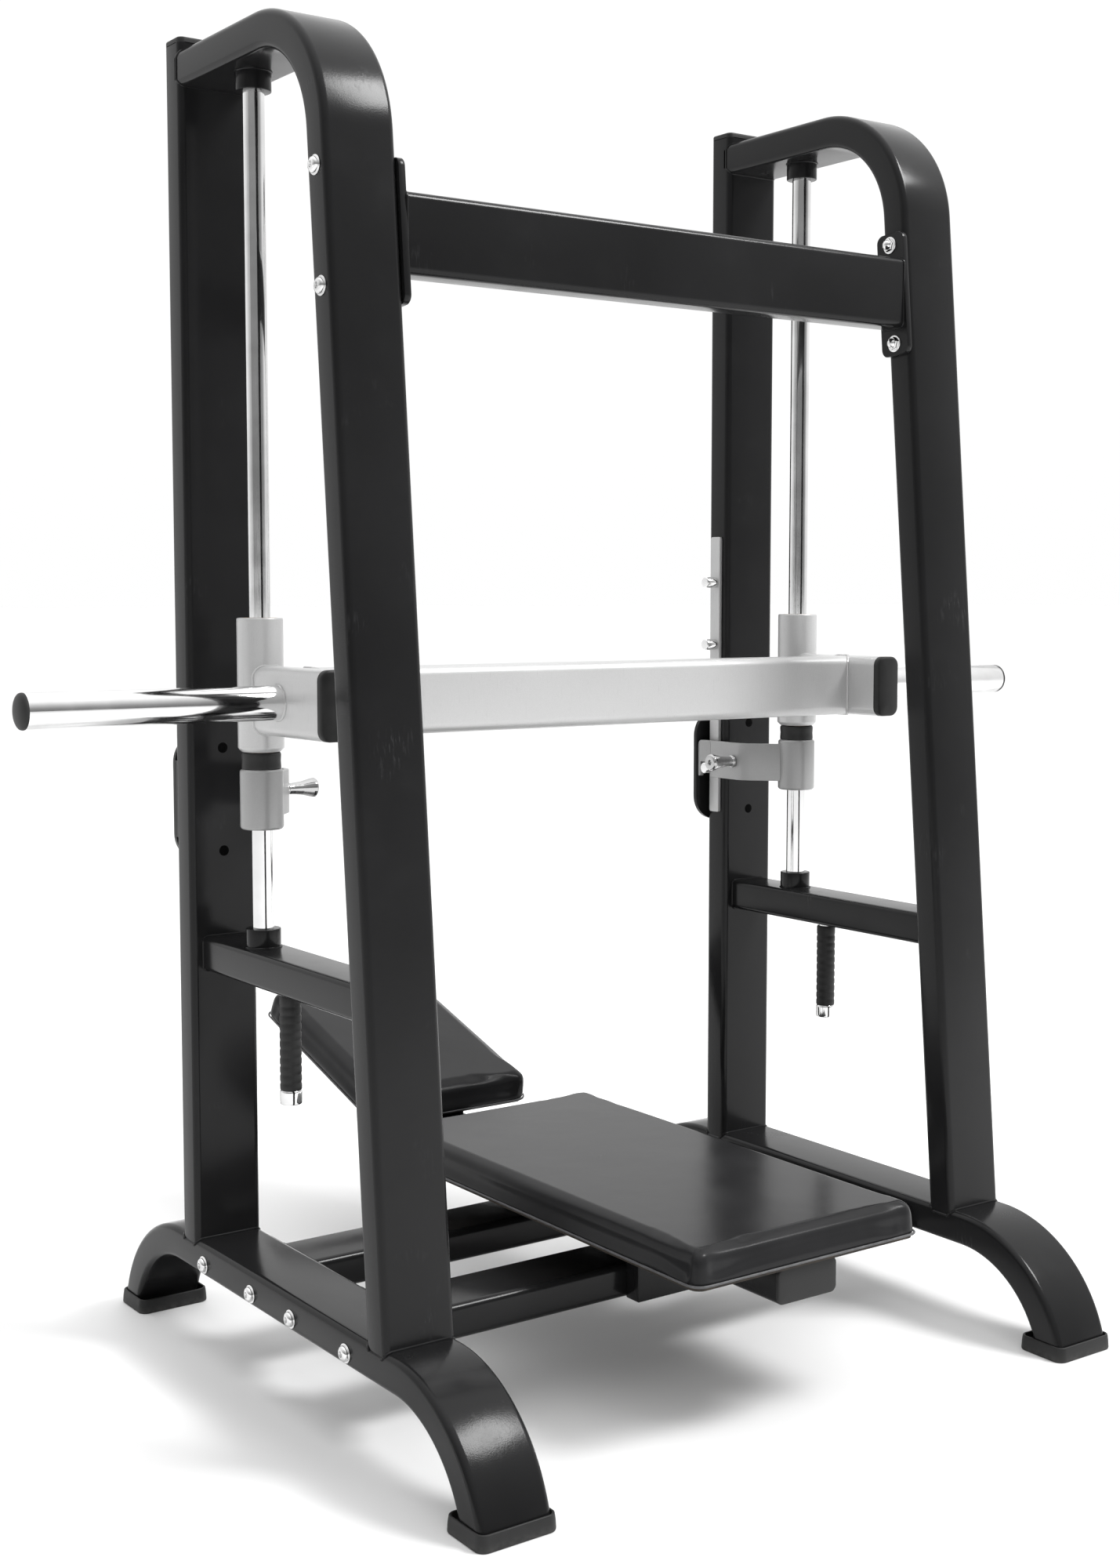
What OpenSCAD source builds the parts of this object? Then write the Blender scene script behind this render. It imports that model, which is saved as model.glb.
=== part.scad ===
// Guided-carriage leg press rack: two side frames with vertical guide rods, a foot bar
// carriage with weight horns, swing-out safety stops, and a lying bench between the frames.
// Millimetres, +Z up, the floor at z = 0, x = 0 on the machine's plane of symmetry, and the
// origin in the middle of the floor area that the machine covers.

/* [Frame tube] */
// Wide face of the main frame tube
tube_w = 110; // [106:1:114]
// Narrow face of the main frame tube
tube_t = 52; // [50:1:54]
// Outer corner radius of the main frame tube
tube_r = 10; // [8:1:14]
// Wall thickness of every steel tube
wall = 3; // [2:0.5:4]

/* [Side frames] */
// Distance from the plane of symmetry to the middle of a side frame
side_x = 528; // [515:1:545]
// Top of the rear upright with its cap
upright_top = 1990; // [1985:1:2040]
// Top face of the arch
arch_top = 1969; // [1960:1:1974]
// Outer radius of the bend at the top of the arch
arch_bend = 200; // [190:5:210]
// Underside of the base rail
rail_z = 127; // [124:1:130]
// Outer radius of the bent feet
foot_bend = 217; // [214:1:220]
// Underside of the short tie between the two uprights
tie_z = 598; // [585:1:610]

/* [Guides and carriage] */
// Diameter of the guide rods
rod_d = 32; // [30:1:34]
// Middle height of the foot bar and the weight horns
bar_z = 1017; // [1014:1:1020]
// Diameter of the weight horns
horn_d = 50; // [48:1:51]
// Distance from the plane of symmetry to the end of a weight horn
horn_end = 936; // [900:1:950]

/* [Bench] */
// Width of the flat pad
seat_w = 424; // [400:2:430]
// Length of the flat pad
seat_len = 829; // [810:1:835]
// Width of the inclined pad
back_w = 326; // [290:2:330]
// Length of the inclined pad along its slope
back_len = 430; // [410:5:440]
// Slope of the inclined pad, in degrees
back_slope = 17.6; // [16:0.2:18.6]

/* [Hidden] */
$fn = 48;
eps = 0.01;
frame_black = [0.12, 0.12, 0.13];
rubber_black = [0.06, 0.06, 0.06];
vinyl_black = [0.16, 0.16, 0.17];
silver = [0.72, 0.72, 0.73];
chrome = [0.86, 0.86, 0.88];
bronze = [0.72, 0.55, 0.30];
plywood = [0.20, 0.17, 0.14];

// Side frame; the lean of the front upright is in degrees
lean = 4.9002;
rear_y = 284;
front_y0 = -303;
rail_mid_z = rail_z + tube_t / 2;
rail_top = rail_z + tube_t;
foot_y = 330;
foot_z = rail_top - foot_bend;
foot_sweep = 82;
cap_floor = 6;
cap_h = 23;
cap_w = 121;
cap_y0 = 461;
cap_y1 = 548;
upright_cap_h = 10;
arch_z = arch_top - arch_bend;
arch_mid_r = arch_bend - tube_t / 2;
arch_y = front_y(arch_z) + arch_mid_r / cos(lean);
arch_under = arch_top - tube_t;
inner_x = side_x - tube_w / 2;
outer_x = side_x + tube_w / 2;
cope_z = rail_top - tube_r - 5;
cut_over = 0.1;
tie_w = 75;
tie_h = 52;
tie_r = 8;
tie_top = tie_z + tie_h;

// Guide rods, their sockets and the hand grips
rod_y = 129;
socket_d = 52;
socket_h = 28;
grip_y = 47;
grip_d = 32;
grip_bar_d = 25;
grip_end = 430;
ferrule_h = 21;

// Catch rack on the inner face of each rear upright
strip_w = 24;
strip_t = 6;
strip_z0 = 776;
strip_len = 499;
peg_d = 20;
peg_len = 24;
peg_count = 4;
peg_pitch = 112;
peg_z0 = 857;
peg_shank_d = 10;

// Bolted plates: the same bolt spacing on all of them
plate_t = 10;
bolt_gap = 158;
bolt_d = 12;
bolt_hole = 13;
head_d = 22;
head_h = 8;
rear_plate_t = 8.5;
rear_plate_x0 = 447;
rear_plate_r = 45;
rear_plate_z = 859;
rear_plate_h = 200;

// Crossbeam between the arches
beam_z = 1653;
beam_y = front_y(beam_z);
beam_plate_w = 58;
beam_plate_h = 196;

// Cross tubes between the base rails
cross_z = 140;
rear_cross_y = 155;
front_cross_y = -128;
cross_plate_l = 200;
cross_plate_h = 56;
base_bolt_z = 147;
cross_len = 2 * (inner_x - plate_t);

// Bench
spine_z0 = 184;
spine_y0 = -490;
spine_y1 = 640;
spine_top = spine_z0 + tube_t;
cross_top = cross_z + tube_t / 2;
bracket_w = 176;
bracket_y0 = -214;
bracket_z0 = 115;
seat_y0 = -501;
board_t = 8;
board_inset = 6;
seat_pad_t = 44;
seat_r = 22;
back_y0 = 442.3;
back_z0 = 247.5;
back_pad_t = 46;
screw_d = 8;

// Carriage
bearing_d = 68;
bearing_z0 = 940;
bearing_h = 197;
bush_d = 50;
bush_h = 40;
running = 0.05;
arm_w = 48;
arm_r = 15;
arm_y0 = -88;
arm_cap_t = 12;
bar_h = 100;
bar_depth = 50;
horn_y = 30;
horn_wall = 4;
horn_cap_t = 10;

// Safety stops
collar_d = 64;
collar_z0 = 826;
collar_h = 89;
bumper_d = 58;
bumper_gap = 0.5;
hook_t = 8;
hook_z0 = 841;
hook_z1 = 907;
hook_x = 454;
hook_bend_y = 187;
hook_end_y = 309;
notch_y0 = 274;
notch_y1 = 302;
notch_gap = 0.3;
knob_y = 210;
knob_z = 874;
knob_x = 395;

// The side frames stand a little in front of the middle of the floor area, because the
// inclined pad overhangs the rear feet. Every Y above is measured from the frames' middle.
frame_y = (cap_y1 - back_y0 - back_len * cos(back_slope) + board_t * sin(back_slope)) / 2;

function front_y(z) = front_y0 + z * tan(lean);

// ---------------------------------------------------------------- placing and sweeping

// Everything for a side frame is drawn for the right side; s = -1 mirrors it to the left.
module on_side(s) {
    translate([0, frame_y, 0]) mirror([s < 0 ? 1 : 0, 0, 0]) children();
}

module on_both() {
    for (s = [-1, 1]) on_side(s) children();
}

module on_middle() {
    translate([0, frame_y, 0]) children();
}

module along_x(from, to) {
    translate([from, 0, 0]) rotate([90, 0, 90]) linear_extrude(to - from) children();
}

module along_y(from, to) {
    translate([0, to, 0]) rotate([90, 0, 0]) linear_extrude(to - from) children();
}

module along_z(from, to) {
    translate([0, 0, from]) linear_extrude(to - from) children();
}

// A tube in the YZ plane that comes level from the back over the bend's centre, turns down to
// the front by the sweep, and runs straight on. The section's first size is the radial one.
module bent_tube(mid_r, sweep, before, after = 0) {
    rotate([0, 90, 0]) rotate([0, 0, 180]) {
        rotate_extrude(angle = sweep) translate([mid_r, 0]) children();
        translate([mid_r, 0, 0]) rotate([90, 0, 0]) linear_extrude(before) children();
        if (after > 0) rotate([0, 0, sweep]) translate([mid_r, 0, 0])
            rotate([-90, 0, 0]) linear_extrude(after) children();
    }
}

// A turned part about the X axis, from a profile of (radius, x) points
module turned_x() {
    rotate([0, 90, 0]) rotate_extrude() children();
}

module rounded(w, h, r) {
    square([w - 2 * r, h], center = true);
    square([w, h - 2 * r], center = true);
    for (x = [-1, 1], y = [-1, 1])
        translate([x * (w / 2 - r), y * (h / 2 - r)]) circle(r);
}

module tube_section(w, h, r, t = wall) {
    difference() {
        rounded(w, h, r);
        rounded(w - 2 * t, h - 2 * t, r - t);
    }
}

// Section of the main tube, or its outline for cutting other tubes to meet it: the outline is
// a little wider so that the cut runs clean past the sides.
module frame_section(hollow) {
    if (hollow) tube_section(tube_t, tube_w, tube_r);
    else rounded(tube_t, tube_w + 2 * cut_over, tube_r);
}

// ---------------------------------------------------------------- fasteners

// Button-head bolt along X: its head stands out of the face at x = 0 towards +X
module bolt_head() {
    socket = 4;
    dome = [for (a = [20:20:80]) [head_d / 2 * sin(a), socket + (head_h - socket) * cos(a)]];
    difference() {
        turned_x() polygon(concat([[0, 0], [0, head_h]], dome, [[head_d / 2, 0]]));
        translate([socket, 0, 0]) rotate([0, 90, 0]) cylinder(d = 7, h = 6, $fn = 6);
    }
}

module bolt_x(length) {
    bolt_head();
    translate([-length, 0, 0]) rotate([0, 90, 0]) cylinder(d = bolt_d, h = length + 1);
}

// Acorn nut on the far end, standing out towards -X; its blind hole clears the bolt
module dome_nut() {
    nut_h = 6;
    dome_h = 13;
    difference() {
        union() {
            translate([-nut_h, 0, 0]) rotate([0, 90, 0]) cylinder(d = head_d, h = nut_h, $fn = 6);
            turned_x() polygon([
                [0, -dome_h], [4, -dome_h + 1], [7, -dome_h + 4], [8, -nut_h], [8, -1], [0, -1]
            ]);
        }
        translate([-9, 0, 0]) rotate([0, 90, 0]) cylinder(d = bolt_d + 2 * running, h = 11);
    }
}

// ---------------------------------------------------------------- side frame

module rail_shape(hollow) {
    difference() {
        translate([side_x, 0, 0]) for (end = [0, 1]) mirror([0, end, 0])
            translate([0, -foot_y, foot_z])
            bent_tube(foot_bend - tube_t / 2, foot_sweep, foot_y) frame_section(hollow);
        translate([side_x - tube_w, -700, -200]) cube([2 * tube_w, 1400, 200 + cap_floor]);
    }
}

module base_rail() {
    color(frame_black) difference() {
        rail_shape(true);
        for (y = base_bolt_ys()) translate([inner_x - 1, y, base_bolt_z])
            rotate([0, 90, 0]) cylinder(d = bolt_hole, h = tube_w + 2);
    }
}

module foot_cap(end) {
    lip = 3;
    cap_mid = (cap_y0 + cap_y1) / 2;
    color(rubber_black) difference() {
        translate([side_x, end * cap_mid, 0]) {
            along_z(0, cap_h - cap_floor) rounded(cap_w, cap_y1 - cap_y0, 16);
            along_z(cap_h - cap_floor - eps, cap_h)
                rounded(cap_w - 2 * lip, cap_y1 - cap_y0 - 2 * lip, 14);
        }
        rail_shape(false);
    }
}

module upright_shape(hollow, z0, z1) {
    translate([side_x, rear_y, 0]) along_z(z0, z1) rotate(90) frame_section(hollow);
}

module rear_upright() {
    color(frame_black) difference() {
        upright_shape(true, cope_z, upright_top - upright_cap_h);
        rail_shape(false);
        for (dz = [-1, 1]) translate([side_x, rear_y, rear_plate_z + dz * bolt_gap / 2])
            rotate([90, 0, 0]) cylinder(d = bolt_hole, h = tube_t + 2, center = true);
        for (i = [0:peg_count - 1]) translate([inner_x - 1, rear_y, peg_z0 + i * peg_pitch])
            rotate([0, 90, 0]) cylinder(d = peg_shank_d + 1, h = wall + 2);
    }
}

module upright_cap() {
    plug = 2 * wall + 0.6;
    color(rubber_black) translate([side_x, rear_y, 0]) {
        along_z(upright_top - upright_cap_h, upright_top) rounded(tube_w, tube_t, tube_r);
        along_z(upright_top - 30, upright_top - upright_cap_h + eps)
            rounded(tube_w - plug, tube_t - plug, tube_r - plug / 2);
    }
}

// Leaning front upright, the bend at its top and the level arm back to the rear upright
module arch_shape(hollow) {
    arm_l = rear_y - tube_t / 2 + tube_r - arch_y;
    leg_l = (arch_z + arch_mid_r * sin(lean) - cope_z) / cos(lean);
    translate([side_x, arch_y, arch_z])
        bent_tube(arch_mid_r, 90 - lean, arm_l, leg_l) frame_section(hollow);
}

module beam_bolt_places() {
    translate([0, beam_y, beam_z]) rotate([-lean, 0, 0])
        for (dz = [-1, 1]) translate([0, 0, dz * bolt_gap / 2]) children();
}

module arch() {
    color(frame_black) difference() {
        arch_shape(true);
        rail_shape(false);
        upright_shape(false, arch_under - 10, upright_top);
        beam_bolt_places() translate([inner_x - 1, 0, 0])
            rotate([0, 90, 0]) cylinder(d = bolt_hole, h = tube_w + 2);
    }
}

module tie() {
    color(frame_black) difference() {
        translate([side_x, 0, tie_z + tie_h / 2])
            along_y(front_y(tie_z), rear_y - tube_t / 2) tube_section(tie_w, tie_h, tie_r);
        arch_shape(false);
    }
}

module rod_sockets() {
    color(frame_black) for (z = [tie_top, arch_under - socket_h])
        translate([side_x, rod_y, z]) difference() {
            cylinder(d = socket_d, h = socket_h);
            translate([0, 0, -1]) cylinder(d = rod_d, h = socket_h + 2);
        }
}

module guide_rod() {
    color(chrome) translate([side_x, rod_y, tie_top]) cylinder(d = rod_d, h = arch_under - tie_top);
}

module rear_plate() {
    color(frame_black) difference() {
        translate([(rear_plate_x0 + outer_x) / 2, rear_y + tube_t / 2, rear_plate_z])
            along_y(0, rear_plate_t) rounded(outer_x - rear_plate_x0, rear_plate_h, rear_plate_r);
        for (dz = [-1, 1]) translate([side_x, rear_y, rear_plate_z + dz * bolt_gap / 2])
            rotate([90, 0, 0]) cylinder(d = bolt_hole, h = tube_w, center = true);
    }
}

module rack_strip() {
    color(silver) difference() {
        translate([inner_x - strip_t, rear_y - strip_w / 2, strip_z0])
            cube([strip_t, strip_w, strip_len]);
        for (i = [0:peg_count - 1]) translate([inner_x - strip_t - 1, rear_y, peg_z0 + i * peg_pitch])
            rotate([0, 90, 0]) cylinder(d = peg_shank_d, h = strip_t + 2);
    }
}

module rack_peg() {
    nose = 3;
    shank = strip_t + wall + 4;
    color(chrome) translate([inner_x - strip_t, rear_y, 0]) {
        rotate([0, 90, 0]) cylinder(d = peg_shank_d, h = shank);
        turned_x() polygon([
            [0, -peg_len], [peg_d / 2 - nose, -peg_len], [peg_d / 2, -peg_len + nose],
            [peg_d / 2, 0], [0, 0]
        ]);
    }
}

module all_rack_pegs() {
    on_both() for (i = [0:peg_count - 1]) translate([0, 0, peg_z0 + i * peg_pitch]) rack_peg();
}

module grip_bar() {
    color(chrome) translate([side_x, grip_y, 0]) {
        translate([0, 0, grip_end]) cylinder(d = grip_d, h = ferrule_h);
        translate([0, 0, grip_end]) cylinder(d = grip_bar_d, h = tie_z - grip_end);
    }
}

module grip_sleeve() {
    color(rubber_black) translate([side_x, grip_y, grip_end + ferrule_h]) difference() {
        cylinder(d = grip_d, h = tie_z - grip_end - ferrule_h - 6);
        translate([0, 0, -1]) cylinder(d = grip_bar_d, h = tie_z);
    }
}

// ---------------------------------------------------------------- frame between the sides

module crossbeam() {
    color(frame_black) translate([0, beam_y, beam_z])
        along_x(-inner_x + plate_t, inner_x - plate_t) tube_section(tube_t, tube_w, tube_r);
}

module beam_plate() {
    color(frame_black) difference() {
        translate([inner_x - plate_t, beam_y, beam_z]) rotate([-lean, 0, 0])
            along_x(0, plate_t) rounded(beam_plate_w, beam_plate_h, 12);
        beam_bolt_places() translate([inner_x - plate_t - 1, 0, 0])
            rotate([0, 90, 0]) cylinder(d = bolt_hole, h = plate_t + 2);
    }
}

module beam_bolt_pair() {
    color(chrome) beam_bolt_places() {
        translate([outer_x, 0, 0]) bolt_x(tube_w + plate_t + 8);
        translate([inner_x - plate_t, 0, 0]) dome_nut();
    }
}

module cross_tube(y) {
    color(frame_black) translate([0, y, cross_z])
        along_x(-cross_len / 2, cross_len / 2) tube_section(tube_w, tube_t, tube_r);
}

function base_bolt_ys() = [
    for (y = [front_cross_y, rear_cross_y], d = [-1, 1]) y + d * bolt_gap / 2
];

module cross_plate_pair() {
    color(frame_black) difference() {
        for (y = [front_cross_y, rear_cross_y]) translate([inner_x - plate_t, y, cross_z])
            along_x(0, plate_t) rounded(cross_plate_l, cross_plate_h, 14);
        for (y = base_bolt_ys()) translate([inner_x - plate_t - 1, y, base_bolt_z])
            rotate([0, 90, 0]) cylinder(d = bolt_hole, h = plate_t + 2);
    }
}

module base_bolt_set() {
    color(chrome) for (y = base_bolt_ys()) {
        translate([outer_x, y, base_bolt_z]) bolt_x(tube_w + plate_t + 8);
        translate([inner_x - plate_t, y, base_bolt_z]) dome_nut();
    }
}

module rear_plate_bolt_pair() {
    color(chrome) for (dz = [-1, 1])
        translate([side_x, rear_y + tube_t / 2 + rear_plate_t, rear_plate_z + dz * bolt_gap / 2])
            rotate([0, 0, 90]) bolt_x(tube_t + rear_plate_t - 2);
}

// ---------------------------------------------------------------- bench

module bench_spine() {
    color(frame_black) translate([0, 0, spine_z0 + tube_t / 2]) difference() {
        along_y(spine_y0, spine_y1) rounded(tube_w, tube_t, tube_r);
        along_y(spine_y0 + wall, spine_y1 - wall)
            rounded(tube_w - 2 * wall, tube_t - 2 * wall, tube_r - wall);
        screw_places(-tube_t / 2 - 5) cylinder(d = screw_d + 0.6, h = tube_t + 10);
    }
}

// Angle bracket: it hangs over the front cross tube and carries the spine
module front_saddle() {
    front_face = front_cross_y - tube_w / 2;
    color(frame_black) {
        translate([-bracket_w / 2, bracket_y0, bracket_z0]) difference() {
            cube([bracket_w, front_face - bracket_y0, spine_z0 - bracket_z0]);
            translate([6, 6, -1]) cube([bracket_w - 12, front_face - bracket_y0 - 12, 56]);
        }
        translate([-tube_w / 2, front_face - eps, cross_top])
            cube([tube_w, tube_w - tube_r, spine_z0 - cross_top]);
    }
}

module rear_saddle() {
    color(frame_black) translate([-tube_w / 2, rear_cross_y - 40, cross_top])
        cube([tube_w, 80, spine_z0 - cross_top]);
}

module backrest_bracket() {
    web_t = 8;
    web_x = 32;
    slope = tan(back_slope);
    y0 = back_y0 + 20;
    y1 = spine_y1 - 10;
    color(frame_black) {
        for (s = [-1, 1]) translate([s * web_x - web_t / 2, 0, 0]) along_x(0, web_t)
            polygon([
                [y0, spine_top], [y1, spine_top],
                [y1, back_z0 + (y1 - back_y0) * slope], [y0, back_z0 + (y0 - back_y0) * slope]
            ]);
        along_x(-web_x - 10, web_x + 10) polygon([
            [y0, back_z0 + (y0 - back_y0) * slope - 6], [y1, back_z0 + (y1 - back_y0) * slope - 6],
            [y1, back_z0 + (y1 - back_y0) * slope], [y0, back_z0 + (y0 - back_y0) * slope]
        ]);
    }
}

module screw_places(z) {
    for (x = [-25, 25], y = [seat_y0 + 120, seat_y0 + seat_len - 240])
        translate([x, y, z]) children();
}

module seat_board() {
    color(plywood) difference() {
        translate([0, seat_y0 + seat_len / 2, 0]) along_z(spine_top, spine_top + board_t)
            rounded(seat_w - 2 * board_inset, seat_len - 2 * board_inset, seat_r - board_inset);
        screw_places(spine_top - 1) cylinder(d = screw_d, h = board_t + 2);
    }
}

module seat_pad() {
    color(vinyl_black) translate([0, seat_y0 + seat_len / 2, 0])
        along_z(spine_top + board_t, spine_top + board_t + seat_pad_t)
        rounded(seat_w, seat_len, seat_r);
}

// Local frame of the inclined pad: X across, Y up the slope, Z square to the board
module on_slope() {
    translate([0, back_y0, back_z0]) rotate([back_slope, 0, 0]) children();
}

module back_board() {
    color(plywood) on_slope() translate([0, back_len / 2, 0]) along_z(0, board_t)
        rounded(back_w - 2 * board_inset, back_len - 2 * board_inset, seat_r - board_inset);
}

module back_pad() {
    color(vinyl_black) on_slope() translate([0, back_len / 2, 0])
        along_z(board_t, board_t + back_pad_t) rounded(back_w, back_len, seat_r);
}

module pad_screws() {
    screw_len = tube_t + board_t - 2;
    color(chrome) screw_places(spine_z0) {
        cylinder(d = screw_d, h = screw_len);
        translate([0, 0, -5]) cylinder(d = 14, h = 5 + eps, $fn = 6);
    }
}

// ---------------------------------------------------------------- carriage

module bearing_housing() {
    chamfer = 6;
    bore = bush_d / 2;
    r = bearing_d / 2;
    color(silver) translate([side_x, rod_y, bearing_z0]) rotate_extrude() polygon([
        [bore, 0], [r - chamfer, 0], [r, chamfer], [r, bearing_h - 1.5],
        [r - 1.5, bearing_h], [bore, bearing_h]
    ]);
}

module bushes() {
    color(bronze) for (z = [bearing_z0, bearing_z0 + bearing_h - bush_h])
        translate([side_x, rod_y, z]) difference() {
            cylinder(d = bush_d, h = bush_h);
            translate([0, 0, -1]) cylinder(d = rod_d + 2 * running, h = bush_h + 2);
        }
}

module arm_shape(hollow) {
    translate([side_x, 0, bar_z]) along_y(arm_y0, rod_y)
        if (hollow) tube_section(arm_w, bar_h, arm_r);
        else rounded(arm_w, bar_h, arm_r);
}

module side_arm() {
    color(silver) difference() {
        arm_shape(true);
        translate([side_x, rod_y, bar_z - bar_h]) cylinder(d = bearing_d, h = 2 * bar_h);
    }
}

module foot_bar() {
    reach = side_x - arm_w / 2 + arm_r;
    color(silver) difference() {
        translate([0, 0, bar_z]) along_x(-reach, reach) tube_section(bar_depth, bar_h, arm_r);
        arm_shape(false);
        mirror([1, 0, 0]) arm_shape(false);
    }
}

module arm_cap() {
    plug = 2 * wall + 0.6;
    color(rubber_black) translate([side_x, 0, bar_z]) {
        along_y(arm_y0 - arm_cap_t, arm_y0) rounded(arm_w, bar_h, arm_r);
        along_y(arm_y0 - eps, arm_y0 + 18) rounded(arm_w - plug, bar_h - plug, arm_r - plug / 2);
    }
}

module weight_horn() {
    x0 = side_x + arm_w / 2;
    color(chrome) translate([x0, horn_y, bar_z]) rotate([0, 90, 0]) difference() {
        cylinder(d = horn_d, h = horn_end - horn_cap_t - x0);
        translate([0, 0, -1]) cylinder(d = horn_d - 2 * horn_wall, h = horn_end);
    }
}

module horn_cap() {
    plug_r = horn_d / 2 - horn_wall - 0.3;
    r = horn_d / 2;
    nose = 4;
    color(rubber_black) translate([horn_end, horn_y, bar_z]) turned_x() polygon([
        [0, 0], [r - nose, 0], [r, -nose], [r, -horn_cap_t],
        [plug_r, -horn_cap_t], [plug_r, -horn_cap_t - 20], [0, -horn_cap_t - 20]
    ]);
}

// ---------------------------------------------------------------- safety stops

module stop_collar() {
    chamfer = 3;
    bore = rod_d / 2 + running;
    r = collar_d / 2;
    color(silver) translate([side_x, rod_y, collar_z0]) rotate_extrude() polygon([
        [bore, 0], [r - chamfer, 0], [r, chamfer], [r, collar_h - chamfer],
        [r - chamfer, collar_h], [bore, collar_h]
    ]);
}

// Flat bar that leaves the collar at 45 degrees, runs back beside the rack strip and sits on
// a peg with an open notch
module hook_arm() {
    half = hook_t / 2;
    bend_gap = half * tan(22.5);
    start = side_x - 28 - hook_x;
    color(silver) difference() {
        along_z(hook_z0, hook_z1) polygon([
            [hook_x + half, hook_bend_y + bend_gap], [hook_x + half, hook_end_y],
            [hook_x - half, hook_end_y], [hook_x - half, hook_bend_y - bend_gap],
            [hook_x + start - half * sqrt(0.5), hook_bend_y - start - half * sqrt(0.5)],
            [hook_x + start + half * sqrt(0.5), hook_bend_y - start + half * sqrt(0.5)]
        ]);
        translate([side_x, rod_y, hook_z0 - 1]) cylinder(d = collar_d, h = hook_z1 - hook_z0 + 2);
        translate([hook_x - hook_t, notch_y0, hook_z0 - 1])
            cube([2 * hook_t, notch_y1 - notch_y0, peg_z0 + peg_d / 2 + notch_gap - hook_z0 + 1]);
    }
}

module stop_bumper() {
    color(rubber_black) translate([side_x, rod_y, collar_z0 + collar_h]) difference() {
        cylinder(d = bumper_d, h = bearing_z0 - bumper_gap - collar_z0 - collar_h);
        translate([0, 0, -1]) cylinder(d = rod_d + 2, h = 40);
    }
}

// Flared pull handle on the inner side of the hook arm
module stop_knob() {
    depth = hook_x - hook_t / 2 - knob_x;
    color(chrome) translate([knob_x, knob_y, knob_z]) turned_x() polygon([
        [0, 5], [4, 5], [4, 0], [12, 0], [15, 3], [14, 10], [9, depth - 18],
        [8, depth - 14], [8, depth - 6], [11, depth - 6], [11, depth], [0, depth]
    ]);
}

on_side(-1) base_rail();  // left_base_rail
on_side(1) base_rail();  // right_base_rail
on_side(-1) { foot_cap(-1); foot_cap(1); }  // left_foot_caps
on_side(1) { foot_cap(-1); foot_cap(1); }  // right_foot_caps
on_side(-1) rear_upright();  // left_rear_upright
on_side(1) rear_upright();  // right_rear_upright
on_both() upright_cap();  // upright_caps
on_side(-1) arch();  // left_arch
on_side(1) arch();  // right_arch
on_side(-1) tie();  // left_tie
on_side(1) tie();  // right_tie
on_side(-1) rod_sockets();  // left_rod_sockets
on_side(1) rod_sockets();  // right_rod_sockets
on_side(-1) guide_rod();  // left_guide_rod
on_side(1) guide_rod();  // right_guide_rod
on_side(-1) rear_plate();  // left_rear_plate
on_side(1) rear_plate();  // right_rear_plate
on_side(-1) rack_strip();  // left_rack_strip
on_side(1) rack_strip();  // right_rack_strip
all_rack_pegs();  // rack_pegs
on_side(-1) grip_bar();  // left_grip_bar
on_side(1) grip_bar();  // right_grip_bar
on_side(-1) grip_sleeve();  // left_grip_sleeve
on_side(1) grip_sleeve();  // right_grip_sleeve
on_middle() crossbeam();
on_both() beam_plate();  // crossbeam_plates
on_both() beam_bolt_pair();  // crossbeam_bolts
on_middle() cross_tube(rear_cross_y);  // rear_cross_tube
on_middle() cross_tube(front_cross_y);  // front_cross_tube
on_both() cross_plate_pair();  // cross_tube_plates
on_both() { base_bolt_set(); rear_plate_bolt_pair(); }  // frame_bolts
on_middle() bench_spine();
on_middle() front_saddle();
on_middle() rear_saddle();
on_middle() backrest_bracket();
on_middle() seat_board();
on_middle() seat_pad();
on_middle() back_board();
on_middle() back_pad();
on_middle() pad_screws();
on_side(-1) bearing_housing();  // left_bearing_housing
on_side(1) bearing_housing();  // right_bearing_housing
on_side(-1) bushes();  // left_bushes
on_side(1) bushes();  // right_bushes
on_side(-1) side_arm();  // left_side_arm
on_side(1) side_arm();  // right_side_arm
on_middle() foot_bar();
on_both() arm_cap();  // arm_caps
on_side(-1) weight_horn();  // left_weight_horn
on_side(1) weight_horn();  // right_weight_horn
on_both() horn_cap();  // horn_caps
on_side(-1) stop_collar();  // left_stop_collar
on_side(1) stop_collar();  // right_stop_collar
on_side(-1) hook_arm();  // left_hook_arm
on_side(1) hook_arm();  // right_hook_arm
on_side(-1) stop_bumper();  // left_stop_bumper
on_side(1) stop_bumper();  // right_stop_bumper
on_side(-1) stop_knob();  // left_stop_knob
on_side(1) stop_knob();  // right_stop_knob
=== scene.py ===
"""Looks of the guided-carriage leg press rack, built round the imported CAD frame.

Shapes are given in millimetres, in the frame's own coordinates: X across, Y to the rear from
the middle of the side frames, Z up from the floor. place() turns them into the row frame.
"""
import math

import bmesh
import bpy
from mathutils import Matrix, Vector


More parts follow.
